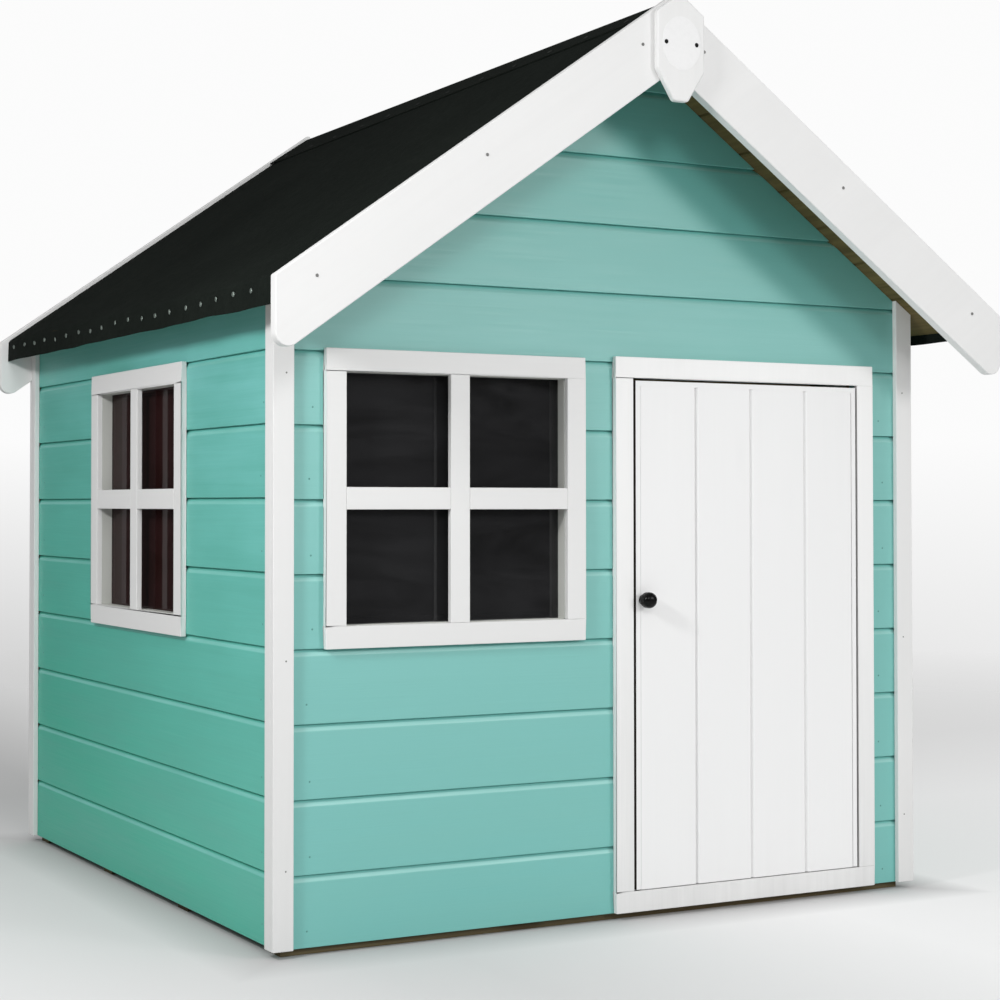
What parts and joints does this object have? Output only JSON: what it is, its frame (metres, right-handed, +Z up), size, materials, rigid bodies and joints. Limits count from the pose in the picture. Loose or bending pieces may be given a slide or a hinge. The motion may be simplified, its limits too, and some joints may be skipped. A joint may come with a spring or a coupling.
{
  "type": "timber playhouse",
  "caption": "Small gable-roofed timber playhouse with shiplap walls, square glazed windows, felted roof and a ledged plank door on concealed pivots.",
  "frame": {"origin": "on the ground, at the middle of the overall box in plan", "axes": "+Z up, +X to the right as seen from the door side, +Y from the door side to the back"},
  "size_m": [1.352, 1.3996, 1.4683],
  "materials": {
    "mint_paint": "eggshell mint green paint on timber",
    "white_paint": "eggshell white paint on timber",
    "treated_timber": "rough sawn, dip treated brown",
    "roofing_felt": "black mineral felt, matt",
    "galvanised_steel": "dull zinc",
    "filled_nails": "painted over white",
    "glazing": "clear acrylic sheet in front of a dark room",
    "black_metal": "black, semi-gloss",
    "plated_steel": "zinc plated",
    "bush_brass": "plain",
    "catch_plastic": "moulded",
    "disc_plastic": "blank label stock"
  },
  "bodies": {
    "house": {"barge_nails": "filled_nails", "bargeboards_back": "white_paint", "bargeboards_front": "white_paint", "base_bearers": "treated_timber", "catch_magnet": "catch_plastic", "cladding_back": "mint_paint", "cladding_front": "mint_paint", "cladding_front_notched": "mint_paint", "cladding_left": "mint_paint", "cladding_left_notched": "mint_paint", "cladding_right": "mint_paint", "corner_strips_back": "white_paint", "corner_strips_front": "white_paint", "corner_strips_side": "white_paint", "door_stops": "treated_timber", "door_surround": "white_paint", "door_threshold": "treated_timber", "eave_nails": "galvanised_steel", "felt_left": "roofing_felt", "felt_right": "roofing_felt", "finial_disc": "disc_plastic", "finial_plaque": "white_paint", "finial_screws": "black_metal", "floor_boards": "treated_timber", "frame_back": "treated_timber", "frame_front": "treated_timber", "frame_left": "treated_timber", "frame_right": "treated_timber", "glazing_bars_front": "white_paint", "glazing_bars_left": "white_paint", "pane_beads_front": "treated_timber", "pane_beads_left": "treated_timber", "pivot_bottom": "plated_steel", "pivot_top": "plated_steel", "rafters": "treated_timber", "ridge_cap": "roofing_felt", "ridge_cap_nails": "galvanised_steel", "roof_boards_left": "treated_timber", "roof_boards_right": "treated_timber", "window_pane_front": "glazing", "window_pane_left": "glazing", "window_surround_front": "white_paint", "window_surround_left": "white_paint"},
    "door": {"door_boards": "white_paint", "door_frame": "white_paint", "door_bushes": "bush_brass", "door_knob": "black_metal", "knob_screw": "plated_steel", "catch_strike": "plated_steel"}
  },
  "joints": [
    {"name": "door_hinge", "type": "hinge", "parent": "house", "child": "door", "pos_m": [0.4515, -0.5148, 0], "axis": [0, 0, 1], "range_deg": [0, 120]}
  ]
}
